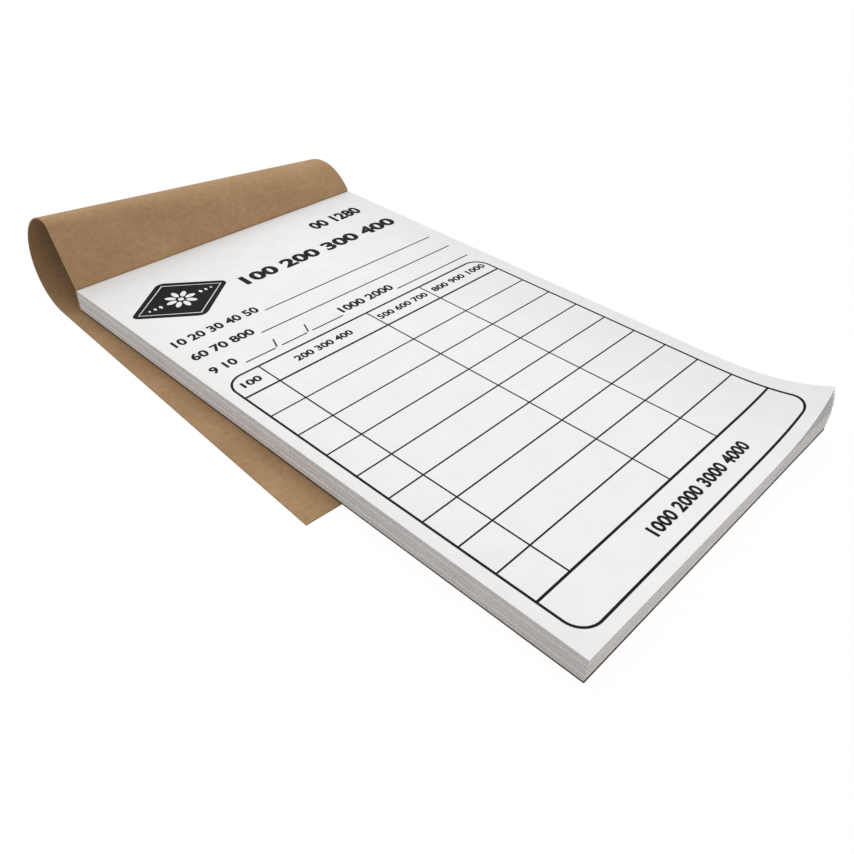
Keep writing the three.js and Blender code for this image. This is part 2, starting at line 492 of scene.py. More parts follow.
@dataclass(frozen=True, kw_only=True)
class KraftCard(MattFinish):
    """Unbleached kraft card: tan, faintly cloudy, with a soft mottle and a few dark fibres.

    Its pattern follows the sheet, by the sheet's own map, in which one unit is sheet_unit long.
    """

    name: str = "kraft_card"
    roughness: float = 0.86
    relief: Relief = Relief(strength=0.15, depth=0.03 * MM)
    sheet_unit: float = 200 * MM
    clouds: Grain = Grain(per_metre=60, detail=3)
    cloud_tones: Tones = Tones((0.382, 0.234, 0.117), (0.446, 0.278, 0.144), 0.32, 0.66)
    mottle: Grain = Grain(per_metre=620, detail=4, squeeze=(0.7, 1.0, 1.0))
    mottle_tones: Tones = Tones((0.93, 0.925, 0.92), (1.03, 1.03, 1.03), 0.36, 0.62)
    fibres: Grain = Grain(per_metre=1900, detail=4, squeeze=(0.35, 1.0, 1.0))
    fibre_tones: Tones = Tones((0.94, 0.935, 0.93), (1.03, 1.03, 1.035), 0.38, 0.60)
    specks: Grain = Grain(per_metre=900, detail=2, squeeze=(0.5, 1.0, 1.0))
    speck_shares: Tones = Tones(BLACK, (0.6, 0.6, 0.6), 0.68, 0.80)
    speck: Colour = (0.250, 0.145, 0.072)

    def material(self) -> bpy.types.Material:
        """Builds the card's material.

        Returns:
            The material.
        """
        material, nodes = new_material(self.name)
        unit = self.sheet_unit
        place = nodes.squeezed(nodes.add("TexCoord").outputs["UV"], (unit, unit, unit))
        colour = nodes.toned(nodes.noise(place, self.clouds), self.cloud_tones)
        soft = nodes.toned(nodes.noise(place, self.mottle), self.mottle_tones)
        colour = nodes.mixed(1.0, colour, soft, ColourMix.MULTIPLY)
        fibres = nodes.noise(place, self.fibres)
        fine = nodes.toned(fibres, self.fibre_tones)
        colour = nodes.mixed(1.0, colour, fine, ColourMix.MULTIPLY)
        spots = nodes.toned(nodes.noise(place, self.specks), self.speck_shares)
        colour = nodes.mixed(spots, colour, self.speck)
        self.surface(nodes, colour, fibres)
        return material


def plain_mesh(name: str, bm: bmesh.types.BMesh) -> bpy.types.Mesh:
    """Turns a bmesh into a mesh as it is.

    Args:
        name: The mesh's name.
        bm: The shape, which is freed.

    Returns:
        The mesh.
    """
    mesh = bpy.data.meshes.new(name)
    bm.to_mesh(mesh)
    bm.free()
    return mesh


def smooth_mesh(name: str, bm: bmesh.types.BMesh) -> bpy.types.Mesh:
    """Turns a bmesh into a mesh that is smooth but for its sharp edges.

    Args:
        name: The mesh's name.
        bm: The shape, which is freed.

    Returns:
        The mesh, with its faces outwards.
    """
    bmesh.ops.recalc_face_normals(bm, faces=bm.faces[:])
    for face in bm.faces:
        face.smooth = True
    mesh = plain_mesh(name, bm)
    mesh.set_sharp_from_angle(angle=SMOOTH_ANGLE)
    return mesh


def add_object(name: str, data: bpy.types.ID) -> bpy.types.Object:
    """Adds an object at the origin of the scene.

    Args:
        name: The object's name.
        data: Its mesh, curve, light or camera.

    Returns:
        The object.
    """
    added = bpy.data.objects.new(name, data)
    bpy.context.scene.collection.objects.link(added)
    return added


def add_piece(
    name: str, bm: bmesh.types.BMesh, materials: list[bpy.types.Material]
) -> bpy.types.Object:
    """Adds a finished shape to the scene as a piece at the origin.

    Args:
        name: The piece's name.
        bm: Its shape, in place.
        materials: Its materials, in the order of its faces' indices.

    Returns:
        The piece's object.
    """
    piece = add_object(name, smooth_mesh(name, bm))
    for material in materials:
        piece.data.materials.append(material)
    log.info("%s: %d faces", name, len(piece.data.polygons))
    return piece


def add_slab(bm: bmesh.types.BMesh, low: Vector, high: Vector) -> None:
    """Adds a box.

    Args:
        bm: The shape to add to.
        low: The box's lowest corner.
        high: Its highest corner.
    """
    made = bmesh.ops.create_cube(bm, size=1.0)["verts"]
    bmesh.ops.scale(bm, vec=high - low, verts=made)
    bmesh.ops.translate(bm, vec=(high + low) / 2, verts=made)


def add_rectangle(
    bm: bmesh.types.BMesh, middle: Vector, size: tuple[float, float], turn: float = 0.0
) -> None:
    """Adds a flat rectangle.

    Args:
        bm: The figure to add to.
        middle: The rectangle's middle.
        size: Its length and its width.
        turn: How far its length is turned from X.
    """
    made = bmesh.ops.create_grid(bm, x_segments=1, y_segments=1, size=0.5)["verts"]
    bmesh.ops.scale(bm, vec=(*size, 1), verts=made)
    bmesh.ops.rotate(bm, cent=(0, 0, 0), matrix=Matrix.Rotation(turn, 3, "Z"), verts=made)
    bmesh.ops.translate(bm, vec=middle, verts=made)


def add_disc(
    bm: bmesh.types.BMesh, centre: Vector, half_size: tuple[float, float], sides: int
) -> list[bmesh.types.BMVert]:
    """Adds a flat disc or polygon.

    Args:
        bm: The figure to add to.
        centre: The disc's middle.
        half_size: How far it reaches along X and along Y.
        sides: How many sides it has.

    Returns:
        Its vertices.
    """
    made = bmesh.ops.create_circle(bm, cap_ends=True, radius=1.0, segments=sides)["verts"]
    bmesh.ops.scale(bm, vec=(*half_size, 1), verts=made)
    bmesh.ops.translate(bm, vec=centre, verts=made)
    return made


def round_corners(bm: bmesh.types.BMesh, radius: float, segments: int) -> None:
    """Rounds the corners of a flat figure.

    Args:
        bm: The figure.
        radius: How far from each corner the rounding starts.
        segments: How many sides the rounding has.
    """
    bmesh.ops.bevel(
        bm,
        geom=bm.verts[:],
        offset=radius,
        offset_type="OFFSET",
        affect="VERTICES",
        segments=segments,
        profile=0.5,
        material=-1,
    )


def keep_outline(bm: bmesh.types.BMesh, weight: float) -> None:
    """Leaves of a flat figure only a line along its edge.

    Args:
        bm: The figure, of one face.
        weight: How wide the line is.
    """
    bmesh.ops.inset_region(bm, faces=bm.faces[:], thickness=weight, use_boundary=True)
    inner = max(bm.faces, key=lambda face: face.calc_area())
    bmesh.ops.delete(bm, geom=[inner], context="FACES_ONLY")


def cut(bm: bmesh.types.BMesh, place: Vector, normal: Vector, clear_outer: bool = False) -> None:
    """Cuts a shape by a plane.

    Args:
        bm: The shape.
        place: A point of the plane.
        normal: The plane's direction.
        clear_outer: Whether the part on the side that the normal points to is taken away.
    """
    bmesh.ops.bisect_plane(
        bm,
        geom=bm.verts[:] + bm.edges[:] + bm.faces[:],
        plane_co=place,
        plane_no=normal,
        dist=SNAP,
        clear_outer=clear_outer,
    )


def cut_along(bm: bmesh.types.BMesh, folds: list[FoldLine]) -> None:
    """Cuts a flat sheet along its folds without parting it."""
    for fold in folds:
        cut(bm, fold.start, fold.outward())


def fold_up(bm: bmesh.types.BMesh, folds: list[FoldLine]) -> None:
    """Folds a flat sheet along its folds, from the last to the first.

    Args:
        bm: The sheet, cut along its folds.
        folds: The folds, each of which carries the ones after it.
    """
    flat = {vert: vert.co.copy() for vert in bm.verts}
    for fold in reversed(folds):
        beyond = [vert for vert in bm.verts if fold.distance(flat[vert]) > SNAP]
        turn = Matrix.Rotation(fold.turn, 3, fold.direction)
        bmesh.ops.rotate(bm, cent=fold.start, matrix=turn, verts=beyond)


@dataclass
class CornerCurl:
    """The curl of one loose leaf's foot-right corner, as a row of folds that tighten towards it.

    The rounds are those in which the bend at the corner is found.
    """

    corner: Vector
    rise: float
    start_on_right_edge: float = 38 * MM
    start_on_foot_edge: float = 40 * MM
    steps: int = 18
    rounds: int = 20

    def corner_height(self, reach: float, bend: float) -> float:
        """How high the corner lies if the slope grows by squares along the reach to the bend."""
        slopes = [bend * ((step + 1) / self.steps) ** 2 for step in range(self.steps)]
        return reach / self.steps * (sum(map(math.sin, slopes)) - math.sin(bend) / 2)

    def folds(self) -> list[FoldLine]:
        """Finds the folds that raise the corner by its rise.

        Returns:
            The folds, from the one nearest the middle of the leaf.
        """
        start_right = self.corner + Vector((0, self.start_on_right_edge, 0))
        start_foot = self.corner - Vector((self.start_on_foot_edge, 0, 0))
        direction = (start_foot - start_right).normalized()
        first = FoldLine(start_right, direction, 0.0)
        reach = first.distance(self.corner)
        bend = self.rise / reach
        for _ in range(self.rounds):
            bend *= self.rise / self.corner_height(reach, bend)
        folds = []
        for step in range(self.steps):
            place = start_right + first.outward() * reach * (step + 0.5) / self.steps
            folds.append(FoldLine(place, direction, bend * (2 * step + 1) / self.steps**2))
        return folds


@dataclass
class LeafBlock:
    """The glued block: loose upper leaves, stacks that still stick together, board and glue."""

    leaf_thickness: float = 0.05 * MM
    loose_leaves: int = 10
    stacks: int = 10
    leaves_per_stack: int = 9
    paper: LeafPaper = field(default_factory=LeafPaper)
    edges: LeafEdges = field(default_factory=LeafEdges)
    board: BackingBoard = field(default_factory=BackingBoard)
    glue: PaddingGlue = field(default_factory=PaddingGlue)

    def build(self) -> CornerCurl:
        """Builds and dresses the block.

        Returns:
            The curl of the top leaf, which its print follows.
        """
        sheet_and_edges = [self.paper.material(), self.edges.material()]
        top_curl = self.add_leaf(1, sheet_and_edges)
        for number in range(2, self.loose_leaves + 1):
            self.add_leaf(number, sheet_and_edges)
        for number in range(1, self.stacks + 1):
            self.add_stack(number, sheet_and_edges)
        self.dress("backing_board", self.board.material())
        self.dress("padding_glue", self.glue.material())
        return top_curl

    def add_leaf(self, number: int, materials: list[bpy.types.Material]) -> CornerCurl:
        """Adds one loose leaf with its curled corner.

        Args:
            number: The leaf's number, from 1 at the top.
            materials: The finishes of its sheet and of its cut edges.

        Returns:
            Its curl.
        """
        node = f"leaf_{number:02d}"
        low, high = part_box(node)
        middle = low.z + self.leaf_thickness / 2
        rise = high.z - low.z - self.leaf_thickness
        curl = CornerCurl(Vector((high.x, low.y, middle)), rise)
        bm = bmesh.new()
        add_slab(bm, low, Vector((high.x, high.y, low.z + self.leaf_thickness)))
        cut_along(bm, curl.folds())
        self.mark_cut_edges(bm)
        fold_up(bm, curl.folds())
        leaf = add_piece(f"{node}_paper", bm, materials)
        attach(leaf, node)
        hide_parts(node)
        return curl

    def add_stack(self, number: int, materials: list[bpy.types.Material]) -> None:
        """Adds one stack as separate thin leaves, trimmed flush as the pad is.

        Args:
            number: The stack's number, from 1.
            materials: The finishes of its sheets and of their cut edges.
        """
        node = f"leaf_stack_{number:02d}"
        low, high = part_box(node)
        pitch = (high.z - low.z - self.leaf_thickness) / (self.leaves_per_stack - 1)
        bm = bmesh.new()
        for index in range(self.leaves_per_stack):
            bottom = low.z + index * pitch
            leaf_high = Vector((high.x, high.y, bottom + self.leaf_thickness))
            add_slab(bm, Vector((low.x, low.y, bottom)), leaf_high)
        self.mark_cut_edges(bm)
        stack = add_piece(f"{node}_leaves", bm, materials)
        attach(stack, "block")
        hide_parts(node)

    def mark_cut_edges(self, bm: bmesh.types.BMesh) -> None:
        """Gives the upright faces of flat leaves, whose normals hardly rise, their own finish.

        Args:
            bm: The leaves.
        """
        bm.normal_update()
        for face in bm.faces:
            upright = abs(face.normal.z) < UPRIGHT_NORMAL
            face.material_index = Face.CUT_EDGE.value if upright else Face.SHEET.value

    def dress(self, node: str, material: bpy.types.Material) -> None:
        """Gives a CAD node its finish.

        Args:
            node: The node's name.
            material: The finish.
        """
        piece = frame["nodes"][node]
        piece.data.materials.clear()
        piece.data.materials.append(material)
        log.info("%s: CAD node, dressed", node)


@dataclass
class KraftCover:
    """The kraft cover: one sheet glued down the head face, creased, and rolled back under.

    On the flat sheet, x runs from the left edge and y from the crease, and the glued strip has
    a y below 0. The roll is a fan of folds, late and close on the left edge, early and far
    apart on the right edge, so that it stands higher on the left.
    """

    width: float = 100 * MM
    length: float = 169 * MM
    thickness: float = 0.35 * MM
    lean: float = math.radians(119.5)
    rise_left: float = 17.8 * MM
    rise_right: float = 1.5 * MM
    evenness: float = 0.17
    cad_folds: int = 12
    cad_folds_per_hinge: int = 3
    folds_per_cad_fold: int = 5
    first_spread: float = 0.45
    crease_folds: int = 6
    crease_radius: float = 0.5 * MM
    crease_zone: float = 1.3 * MM
    bend_below_crease: float = 0.8 * MM
    bend_past_crease: float = 0.9 * MM
    bend_by_hinge: float = 2.3 * MM
    aim_past_roll: float = 20 * MM
    left_guess: float = 2.1
    right_guess: float = 2.0
    nudge: float = 1e-4
    rounds: int = 25
    card: KraftCard = field(default_factory=KraftCard)

    def build(self) -> None:
        """Builds the cover as one piece for each of its joints."""
        material = self.card.material()
        turn, roll_left, roll_right = self.settle()
        folds = self.crease() + self.roll(turn, roll_left, roll_right)
        seams = self.seams(roll_left, roll_right)
        joints = [joint for joint in frame["joints"] if joint["name"].startswith("cover_")]
        replaced = [
            ["cover_spine"],
            ["cover_rise"],
            ["cover_roll_01"],
            ["cover_roll_02"],
            ["cover_roll_03", "cover_flap"],
        ]
        for index, joint in enumerate(joints):
            bm = self.cut_sheet(seams[index], seams[index + 1])
            cut_along(bm, folds)
            self.map_sheet(bm)
            fold_up(bm, folds)
            bmesh.ops.transform(bm, matrix=self.spine_matrix(), verts=bm.verts[:])
            piece = add_piece(f"cover_card_{index + 1:02d}", bm, [material])
            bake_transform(piece)
            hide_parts(*replaced[index])

    def crease_place(self) -> Vector:
        """The place of the crease's left end."""
        places = {joint["name"]: joint["pos_m"] for joint in frame["joints"]}
        return Vector(places["cover_crease"])

    def spine_matrix(self) -> Matrix:
        """The place of the flat sheet when it stands upright along the head face."""
        return Matrix.Translation(self.crease_place()) @ Matrix.Rotation(math.pi / 2, 4, "X")

    def line_at(self, step: float, roll_left: float, roll_right: float) -> tuple[Vector, Vector]:
        """Finds the roll's ruling at a step.

        Args:
            step: The step, counted in the CAD model's folds from 0.
            roll_left: The roll's length along the left edge.
            roll_right: The roll's length along the right edge.

        Returns:
            The ruling's ends on the left and on the right edge.
        """
        share = step / (self.cad_folds - 1)
        even = self.evenness
        widening = even * share + (1 - even) * share**2
        narrowing = even * share + (1 - even) * (1 - (1 - share) ** 2)
        left = Vector((0, self.rise_left + roll_left * widening, 0))
        right = Vector((self.width, self.rise_right + roll_right * narrowing, 0))
        return left, right

    def crease(self) -> list[FoldLine]:
        """Makes the crease over the head edge.

        Returns:
            Its few close folds.
        """
        bend = self.lean - math.pi / 2
        spread = bend * self.crease_radius
        folds = []
        for index in range(self.crease_folds):
            place = ((index + 0.5) / self.crease_folds - 0.5) * spread
            start = Vector((0, place, 0))
            folds.append(FoldLine(start, Vector((1, 0, 0)), -bend / self.crease_folds))
        return folds

    def roll(self, turn: float, roll_left: float, roll_right: float) -> list[FoldLine]:
        """Makes the roll.

        Args:
            turn: Its total turn.
            roll_left: Its length along the left edge.
            roll_right: Its length along the right edge.

        Returns:
            Its many gentle folds, each group of them spread about one CAD fold.
        """
        count = self.cad_folds * self.folds_per_cad_fold
        folds = []
        for index in range(count):
            cad_fold, place = divmod(index, self.folds_per_cad_fold)
            spread = (place + 0.5) / self.folds_per_cad_fold - 0.5
            if cad_fold == 0:
                spread *= self.first_spread
            left, right = self.line_at(cad_fold + spread, roll_left, roll_right)
            folds.append(FoldLine(left, (right - left).normalized(), -turn / count))
        return folds

    def flap_error(self, guess: Vector) -> Vector:
        """Works out how far the free part is from lying level on the table.

        Args:
            guess: The roll's total turn, and its length along the left and the right edge.

        Returns:
            The sideways and lengthways parts of its normal, and its height error.
        """
        matrix = self.spine_matrix()
        for fold in self.crease() + self.roll(*guess):
            matrix = matrix @ fold.matrix()
        normal = matrix.to_3x3() @ Vector((0, 0, 1))
        end = matrix @ Vector((self.width / 2, self.length, 0))
        return Vector((normal.x, normal.y, end.z - self.thickness / 2))

    def settle(self) -> Vector:
        """Finds the roll whose free part lies flat on the table, by Newton's method.

        The first guesses of its lengths are in heights of the rise's left edge.

        Returns:
            The roll's total turn, and its length along the left and the right edge.
        """
        left = self.left_guess * self.rise_left
        right = self.right_guess * self.rise_left
        guess = Vector((math.tau - self.lean, left, right))
        for _ in range(self.rounds):
            error = self.flap_error(guess)
            slope = Matrix.Identity(3)
            for column in range(3):
                moved = guess.copy()
                moved[column] += self.nudge
                slope.col[column] = (self.flap_error(moved) - error) / self.nudge
            guess -= slope.inverted() @ error
        return guess

    def seams(self, roll_left: float, roll_right: float) -> list[FoldLine]:
        """Finds where one piece of the cover ends and the next starts.

        Args:
            roll_left: The roll's length along the left edge.
            roll_right: The roll's length along the right edge.

        Returns:
            Lines across the sheet: its glued end, the end of the crease, lines halfway between
            two CAD folds, and its free edge.
        """
        across = Vector((1, 0, 0))
        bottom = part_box("cover_spine")[0].z - self.crease_place().z
        lines = [
            FoldLine(Vector((0, bottom, 0)), across, 0.0),
            FoldLine(Vector((0, self.crease_zone, 0)), across, 0.0),
        ]
        step = self.cad_folds_per_hinge - 0.5
        while step < self.cad_folds - 1:
            left, right = self.line_at(step, roll_left, roll_right)
            lines.append(FoldLine(left, (right - left).normalized(), 0.0))
            step += self.cad_folds_per_hinge
        lines.append(FoldLine(Vector((0, self.length, 0)), across, 0.0))
        return lines

    def cut_sheet(self, near: FoldLine, far: FoldLine) -> bmesh.types.BMesh:
        """Cuts the flat sheet between two lines, and closes its cut ends.

        Args:
            near: The line on the side of the glued end.
            far: The line on the side of the free edge.

        Returns:
            The flat piece.
        """
        half = self.thickness / 2
        reach = 2 * self.length
        bm = bmesh.new()
        add_slab(bm, Vector((0, -reach, -half)), Vector((self.width, reach, half)))
        for line, outward in ((near, -near.outward()), (far, far.outward())):
            cut(bm, line.start, outward, clear_outer=True)
            open_edges = [edge for edge in bm.edges if edge.is_boundary]
            bmesh.ops.holes_fill(bm, edges=open_edges)
        return bm

    def map_sheet(self, bm: bmesh.types.BMesh) -> None:
        """Gives the flat sheet a map of its own, for the card's pattern.

        Args:
            bm: The flat piece.
        """
        layer = bm.loops.layers.uv.new("sheet")
        for face in bm.faces:
            for loop in face.loops:
                loop[layer].uv = loop.vert.co.xy / self.card.sheet_unit


@dataclass(frozen=True)
class PrintedLine:
    """One straight line of the form, in millimetres from the middle of the pad."""

    start: tuple[float, float]
    end: tuple[float, float]


@dataclass(frozen=True)
class PrintedNumber:
    """One plain number on the form, in millimetres from the middle of the pad.

    Its weight is how far its strokes are thickened, as a share of the type size.
    """

    digits: str
    left: float
    base: float
    width: float
    height: float
    weight: float = 0.036


@dataclass(frozen=True)
class Ornament:
    """A plain ornament: a dark lozenge with a thin line, a ring of petals and side marks.

    Its place is measured from the middle of the pad. The marks lie in a row on each side, and
    grow smaller outwards.
    """

    place: tuple[float, float] = (-31.7 * MM, 62.1 * MM)
    lozenge_sides: int = 4
    ground_half_size: tuple[float, float] = (15.5 * MM, 11.5 * MM)
    blunting: float = 2.0 * MM
    blunting_segments: int = 4
    line_half_size: tuple[float, float] = (13.2 * MM, 9.6 * MM)
    line_weight: float = 0.35 * MM
    petals: int = 8
    petal_place: float = 2.9 * MM
    petal_half_size: tuple[float, float] = (1.5 * MM, 0.75 * MM)
    petal_sides: int = 16
    heart_radius: float = 0.8 * MM
    heart_sides: int = 20
    marks_each_side: int = 3
    first_mark: float = 6.3 * MM
    mark_pitch: float = 1.7 * MM
    mark_half_width: float = 0.55 * MM
    mark_shrinks_by: float = 0.1 * MM
    mark_height_share: float = 1.6

    def centre(self) -> Vector:
        """The middle of the ornament."""
        return Vector((*self.place, 0))

    def ground(self) -> bmesh.types.BMesh:
        """Draws the dark ground.

        Returns:
            A lozenge with blunt corners.
        """
        bm = bmesh.new()
        add_disc(bm, self.centre(), self.ground_half_size, self.lozenge_sides)
        round_corners(bm, self.blunting, self.blunting_segments)
        return bm

    def pattern(self) -> bmesh.types.BMesh:
        """Draws the bare figures on the ground.

        Returns:
            The line, the petals with their heart, and the marks.
        """
        centre = self.centre()
        bm = bmesh.new()
        add_disc(bm, centre, self.line_half_size, self.lozenge_sides)
        keep_outline(bm, self.line_weight)
        petal_centre = centre + Vector((self.petal_place, 0, 0))
        petal = add_disc(bm, petal_centre, self.petal_half_size, self.petal_sides)
        petal_faces = list({face for vert in petal for face in vert.link_faces})
        copies = self.petals - 1
        bmesh.ops.spin(
            bm,
            geom=petal + petal_faces,
            cent=centre,
            axis=(0, 0, 1),
            angle=math.tau * copies / self.petals,
            steps=copies,
            use_duplicate=True,
        )
        add_disc(bm, centre, (self.heart_radius, self.heart_radius), self.heart_sides)
        for side in (-1, 1):
            for index in range(self.marks_each_side):
                across = side * (self.first_mark + self.mark_pitch * index)
                half = self.mark_half_width - self.mark_shrinks_by * index
                half_size = (half, self.mark_height_share * half)
                add_disc(bm, centre + Vector((across, 0, 0)), half_size, self.lozenge_sides)
        return bm


@dataclass
class OrderPrint:
    """The print on the top leaf: a ruled table, ruled fields, plain numbers and an ornament.

    Places are measured on the leaf from the middle of the pad, and the columns' places are
    shares of the table's width.
    """

    curl: CornerCurl
    skew: float = math.radians(0.27)
    table_left: float = -47.08 * MM
    table_top: float = 22.66 * MM
    table_width: float = 92.53 * MM
    table_height: float = 104.5 * MM
    corner_radius: float = 5.2 * MM
    corner_segments: int = 10
    header_height: float = 8.66 * MM
    row_pitch: float = 9.42 * MM
    rows: int = 9
    columns: tuple[float, ...] = (0.1147, 0.5057, 0.7266)
    bold_line: float = 0.62 * MM
    fine_line: float = 0.42 * MM
    bold_type: float = 0.045
    type_resolution: int = 3
    type_snap: float = 1e-5
    ornament: Ornament = field(default_factory=Ornament)
    ink: PrintInk = field(default_factory=PrintInk)
    paper: LeafPaper = field(default_factory=LeafPaper)

    def build(self) -> None:
        """Prints everything on the top leaf."""
        ink = self.ink.material()
        bare = bpy.data.materials[self.paper.name]
        self.print_piece("table_rulings", self.table(), PrintHeight.INK, ink)
        self.print_piece("field_rulings", self.fields(), PrintHeight.INK, ink)
        self.print_piece("form_numbers", self.numbers(), PrintHeight.INK, ink)
        self.print_piece("ornament_ground", self.ornament.ground(), PrintHeight.INK, ink)
        self.print_piece("ornament_pattern", self.ornament.pattern(), PrintHeight.BARE, bare)

    def print_piece(
        self, name: str, bm: bmesh.types.BMesh, height: PrintHeight, material: bpy.types.Material
    ) -> None:
        """Lays a flat figure on the top leaf as a thin film, curled with the leaf.

        Args:
            name: The piece's name.
            bm: The figure, flat at height 0.
            height: Where its film lies over the leaf.
            material: Its finish.
        """
        bottom, top = height.value
        leaf_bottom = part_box("leaf_01")[0].z
        leaf_top = leaf_bottom + 2 * (self.curl.corner.z - leaf_bottom)
        film = bmesh.ops.extrude_face_region(bm, geom=bm.faces[:])["geom"]
        raised = [part for part in film if isinstance(part, bmesh.types.BMVert)]
        bmesh.ops.translate(bm, vec=(0, 0, top - bottom), verts=raised)
        lift = Matrix.Translation((0, 0, leaf_top + bottom))
        place = lift @ Matrix.Rotation(self.skew, 4, "Z")
        bmesh.ops.transform(bm, matrix=place, verts=bm.verts[:])
        cut_along(bm, self.curl.folds())
        fold_up(bm, self.curl.folds())
        piece = add_piece(name, bm, [material])
        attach(piece, "leaf_01")

    def add_bar(self, bm: bmesh.types.BMesh, start: Vector, end: Vector, weight: float) -> None:
        """Adds a straight printed line.

        Args:
            bm: The figure to add to.
            start: Where the line starts.
            end: Where it ends.
            weight: How wide it is.
        """
        along = end - start
        turn = math.atan2(along.y, along.x)
        add_rectangle(bm, (start + end) / 2, (along.length, weight), turn)

    def row_lines(self) -> list[tuple[float, float]]:
        """Lists the lines across the table, bold below the header and above the total.

        Returns:
            The height and the weight of each line, from the header down.
        """
        header = self.table_top - self.header_height
        lines = []
        for row in range(self.rows + 1):
            weight = self.bold_line if row in (0, self.rows) else self.fine_line
            lines.append((header - row * self.row_pitch, weight))
        return lines

    def table(self) -> bmesh.types.BMesh:
        """Draws the table.

        Returns:
            A frame with round corners, and the lines of its header, rows, columns and total.
        """
        bm = bmesh.new()
        across = self.table_left + self.table_width / 2
        middle = Vector((across, self.table_top - self.table_height / 2, 0))
        add_rectangle(bm, middle, (self.table_width, self.table_height))
        round_corners(bm, self.corner_radius, self.corner_segments)
        keep_outline(bm, self.bold_line)
        left = self.table_left + self.bold_line
        right = self.table_left + self.table_width - self.bold_line
        for height, weight in self.row_lines():
            self.add_bar(bm, Vector((left, height, 0)), Vector((right, height, 0)), weight)
        for share in self.columns:
            self.add_column(bm, self.table_left + share * self.table_width)
        return bm

    def add_column(self, bm: bmesh.types.BMesh, across: float) -> None:
        """Adds one column's line, in a stretch for each row, so that no film crosses another.

        Args:
            bm: The figure to add to.
            across: How far to the right the line lies.
        """
        upper = self.table_top - self.bold_line
        for height, weight in self.row_lines():
            start = Vector((across, upper, 0))
            end = Vector((across, height + weight / 2, 0))
            self.add_bar(bm, start, end, self.fine_line)
            upper = height - weight / 2

    def fields(self) -> bmesh.types.BMesh:
        """Draws the ruled fields above the table.

        Returns:
            Their lines, and the two strokes that part the third one.
        """
        lines = [
            PrintedLine((-19.0, 42.0), (45.5, 42.0)),
            PrintedLine((-26.5, 33.8), (45.5, 33.8)),
            PrintedLine((-37.6, 25.7), (-28.4, 25.7)),
            PrintedLine((-26.4, 25.7), (-18.0, 25.7)),
            PrintedLine((-16.4, 25.7), (-5.6, 25.7)),
            PrintedLine((15.2, 25.9), (45.2, 25.9)),
            PrintedLine((-27.8, 25.9), (-26.3, 29.4)),
            PrintedLine((-17.5, 25.9), (-16.0, 29.4)),
        ]
        bm = bmesh.new()
        for line in lines:
            start = Vector((*line.start, 0)) * MM
            self.add_bar(bm, start, Vector((*line.end, 0)) * MM, self.fine_line)
        return bm

    def numbers(self) -> bmesh.types.BMesh:
        """Sets plain numbers where a form has its words.

        Returns:
            The numbers of the serial, the title, the fields, the columns' heads and the total.
        """
        bold = self.bold_type
        title = "100 200 300 400"
        numbers = [
            PrintedNumber("00 1280", left=22.9, base=69.4, width=20.0, height=5.0, weight=bold),
            PrintedNumber(title, left=-13.8, base=56.0, width=59.3, height=5.2, weight=bold),
            PrintedNumber("10 20 30 40 50", left=-46.2, base=42.5, width=26.2, height=3.25),
            PrintedNumber("60 70 800", left=-46.2, base=34.5, width=18.7, height=3.25),
            PrintedNumber("9 10", left=-46.2, base=26.7, width=7.5, height=3.1),
            PrintedNumber("1000 2000", left=-4.6, base=26.5, width=19.4, height=3.1),
            PrintedNumber("100", left=-44.3, base=17.15, width=5.5, height=2.45),
            PrintedNumber("200 300 400", left=-28.0, base=17.15, width=18.7, height=2.45),
            PrintedNumber("500 600 700", left=0.5, base=17.15, width=18.5, height=2.45),
            PrintedNumber("800 900 1000", left=21.7, base=17.15, width=22.0, height=2.45),
            PrintedNumber("1000 2000 3000 4000", left=-16.9, base=-77.95, width=39.4, height=3.3),
        ]
        bm = bmesh.new()
        for number in numbers:
            self.add_number(bm, number)
        return bm

    def typed(self, number: PrintedNumber) -> bmesh.types.BMesh:
        """Types a number in the plain font.

        Args:
            number: The number.

        Returns:
            Its figures, at the font's own size and place.
        """
        curve = bpy.data.curves.new("number", "FONT")
        curve.body = number.digits
        curve.offset = number.weight
        curve.resolution_u = self.type_resolution
        text = add_object("number", curve)
        bpy.context.view_layer.update()
        figures = bmesh.new()
        figures.from_mesh(text.to_mesh())
        text.to_mesh_clear()
        bpy.data.objects.remove(text)
        bpy.data.curves.remove(curve)
        bmesh.ops.remove_doubles(figures, verts=figures.verts[:], dist=self.type_snap)
        return figures

    def add_number(self, bm: bmesh.types.BMesh, number: PrintedNumber) -> None:
        """Adds a printed number, stretched to its size.

        Args:
            bm: The figure to add to.
            number: The number.
        """
        figures = self.typed(number)
        verts = figures.verts[:]
        low = Vector((min(v.co.x for v in verts), min(v.co.y for v in verts), 0))
        high = Vector((max(v.co.x for v in verts), max(v.co.y for v in verts), 0))
        span = high - low
        bmesh.ops.translate(figures, vec=-low, verts=verts)
        scale = Vector((number.width / span.x, number.height / span.y, 1 / MM)) * MM
        bmesh.ops.scale(figures, vec=scale, verts=verts)
        corner = Vector((number.left, number.base, 0)) * MM
        bmesh.ops.translate(figures, vec=corner, verts=verts)
        placed = plain_mesh("number", figures)
        bm.from_mesh(placed)
        bpy.data.meshes.remove(placed)


